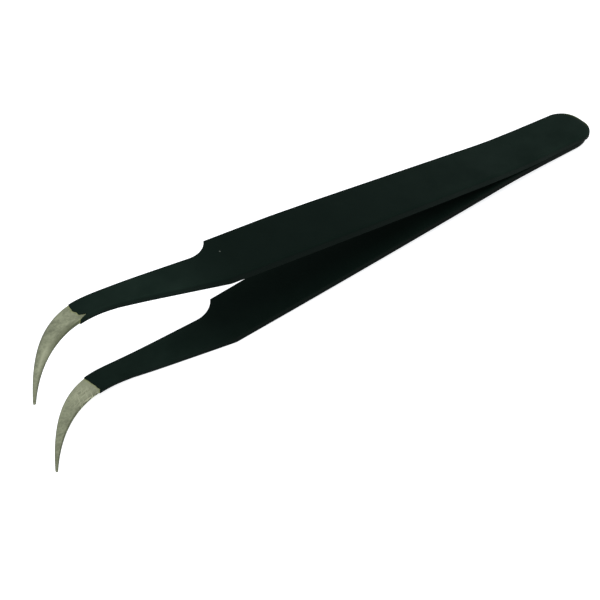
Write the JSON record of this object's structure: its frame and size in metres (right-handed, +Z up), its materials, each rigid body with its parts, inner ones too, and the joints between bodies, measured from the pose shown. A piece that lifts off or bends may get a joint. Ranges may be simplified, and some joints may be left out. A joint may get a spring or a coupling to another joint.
{
  "type": "curved tweezers",
  "caption": "Precision tweezers: flat springy steel leaves joined at the heel, a black coated grip, and bare fine points that hook to one side.",
  "frame": {"origin": "centre of the bounding box's underside, as the tweezers lie on the outer face of the lower leaf", "axes": "+X along the length toward the points, +Y to the side that the points hook to, +Z up from the lower leaf to the upper leaf"},
  "size_m": [0.1154, 0.0168, 0.0182],
  "materials": {
    "coating": "matte black epoxy powder coat with a faint green cast",
    "steel": "dull, fine bead-blasted stainless steel",
    "weld": "spot weld, inside the heel"
  },
  "bodies": {
    "heel": {"upper_leaf_heel": "steel", "lower_leaf_heel": "steel", "heel_welds": "weld", "heel_coating": "coating"},
    "upper_arm": {"upper_leaf_arm": "steel", "upper_arm_coating": "coating"},
    "lower_arm": {"lower_leaf_arm": "steel", "lower_arm_coating": "coating"}
  },
  "joints": [
    {"name": "upper_flex", "type": "hinge", "parent": "heel", "child": "upper_arm", "pos_m": [-0.03866, -0.00326, 0.00274], "axis": [0, 1, 0], "range_deg": [0, 4.57], "stiffness_Nm_per_rad": 1},
    {"name": "lower_flex", "type": "hinge", "parent": "heel", "child": "lower_arm", "pos_m": [-0.03866, -0.00326, 0.00274], "axis": [0, 1, 0], "range_deg": [-4.57, 0], "stiffness_Nm_per_rad": 1}
  ],
  "couplings": [
    {"joint": "lower_flex", "follows": "upper_flex", "ratio": -1}
  ]
}
